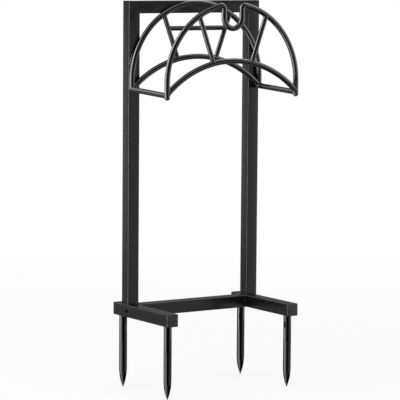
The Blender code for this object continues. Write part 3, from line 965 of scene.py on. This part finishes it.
def towards(azimuth, elevation):
    """Unit vector from the stand: azimuth 0 towards the camera, plus to the camera's right."""
    angle = CAMERA_YAW - math.radians(azimuth)
    flat = math.cos(math.radians(elevation))
    height = math.sin(math.radians(elevation))
    return Vector((-math.sin(angle) * flat, -math.cos(angle) * flat, height))


STAND_CENTRE = Vector((0, 0, 0.42))


def add_softbox(name, azimuth, elevation, distance, width, height, radiance):
    """Rectangular lamp that faces the stand. radiance is its own brightness, where 1 is white."""
    data = bpy.data.lights.new(name, "AREA")
    data.shape = "RECTANGLE"
    data.size = width
    data.size_y = height
    data.energy = radiance * math.pi * width * height
    lamp = add_object(name, data)
    lamp.location = STAND_CENTRE + towards(azimuth, elevation) * distance
    lamp.rotation_euler = (STAND_CENTRE - lamp.location).to_track_quat("-Z", "Y").to_euler()
    lamp.visible_glossy = False


CARD_RADIUS = 3.0
SURROUND_RADIUS = 3.3
CARD_COLUMNS = 24
CARD_ROWS = 10


def add_card(name, azimuths, elevations, radiance, radius=CARD_RADIUS):
    """Part of a sphere round the stand that only reflections see. The ranges are in degrees."""
    bm = bmesh.new()
    grid = []
    for j in range(CARD_ROWS + 1):
        elevation = elevations[0] + (elevations[1] - elevations[0]) * j / CARD_ROWS
        row = []
        for i in range(CARD_COLUMNS + 1):
            azimuth = azimuths[0] + (azimuths[1] - azimuths[0]) * i / CARD_COLUMNS
            row.append(bm.verts.new(STAND_CENTRE + towards(azimuth, elevation) * radius))
        grid.append(row)
    for low, high in zip(grid, grid[1:]):
        for i in range(CARD_COLUMNS):
            bm.faces.new((low[i], low[i + 1], high[i + 1], high[i]))
    mesh = take_mesh(name, bm)
    card = add_object(name, mesh)
    card.visible_camera = False
    card.visible_diffuse = False
    card.visible_transmission = False
    card.visible_shadow = False
    material, tree = add_material(name)
    material.cycles.emission_sampling = "NONE"
    glow = tree.nodes.new("ShaderNodeEmission")
    glow.inputs["Strength"].default_value = radiance
    link(tree, glow, "Emission", tree.nodes["Material Output"], "Surface")
    mesh.materials.append(material)


def add_light():
    """Two soft lamps for the body colour, and the cards that the glossy coats mirror.

    A card's numbers are its azimuths, its elevations and its radiance, where 1 is white. They were
    set until the render's reflections were like the photograph's, and the brightest are far over
    white. The coats mirror the cards and the dark surround alone, never the white background.
    """
    add_softbox("key", azimuth=-65, elevation=20, distance=1.7, width=1.2, height=1.2, radiance=2.2)
    add_softbox("overhead", azimuth=0, elevation=80, distance=1.6, width=1.5, height=1.5, radiance=2.0)
    add_card("surround", (-180, 180), (-89.9, 89.9), 0.03, SURROUND_RADIUS)
    add_card("strip_left", (-93, -80), (-25, 62), 8.0)
    add_card("strip", (-80, -67), (-6, 62), 17.0)
    add_card("strip_low", (-80, -67), (-75, -6), 11.0)
    add_card("strip_right_high", (-67, -48), (12, 62), 6.7)
    add_card("strip_right", (-67, -48), (-5, 12), 4.1)
    add_card("strip_right_low", (-67, -48), (-25, -5), 1.8)
    add_card("strip_right_foot", (-67, -48), (-75, -25), 3.0)
    add_card("falloff_high", (-48, -25), (12, 35), 0.4)
    add_card("falloff", (-48, -25), (-5, 12), 1.9)
    add_card("falloff_low", (-48, -25), (-75, -5), 5.6)
    add_card("front_low", (-25, 20), (-75, -25), 0.5)
    add_card("front_right", (26, 45), (-25, 12), 0.3)
    add_card("right_near", (45, 75), (-25, 12), 0.9)
    add_card("right_mid", (75, 95), (-25, 62), 1.5)
    add_card("right", (95, 115), (-5, 62), 4.7)
    add_card("right_rear", (115, 140), (-5, 62), 1.3)
    add_card("right_rear_low", (115, 140), (-75, -5), 0.8)
    add_card("rear_high", (140, 180), (35, 62), 3.6)
    add_card("rear", (140, 200), (-5, 35), 0.19)
    add_card("rear_low", (140, 220), (-75, -5), 0.45)
    add_card("left_edge", (-160, -122), (-5, 12), 2.0)
    add_card("left_high", (-140, -93), (12, 62), 2.1)
    add_card("left_middle", (-136, -105), (-9.5, 4), 0.74)
    add_card("left_low", (-136, -105), (-25, -9.5), 0.33)
    add_card("roof_front", (-90, 90), (62, 89.9), 2.3)
    add_card("roof_rear", (90, 270), (62, 89.9), 0.9)


add_frame()
add_base()
add_end_caps()
add_spikes()
add_hanger()
finish_fasteners()
add_camera()
add_world()
add_floor()
add_light()

bpy.context.scene.view_settings.view_transform = "Standard"
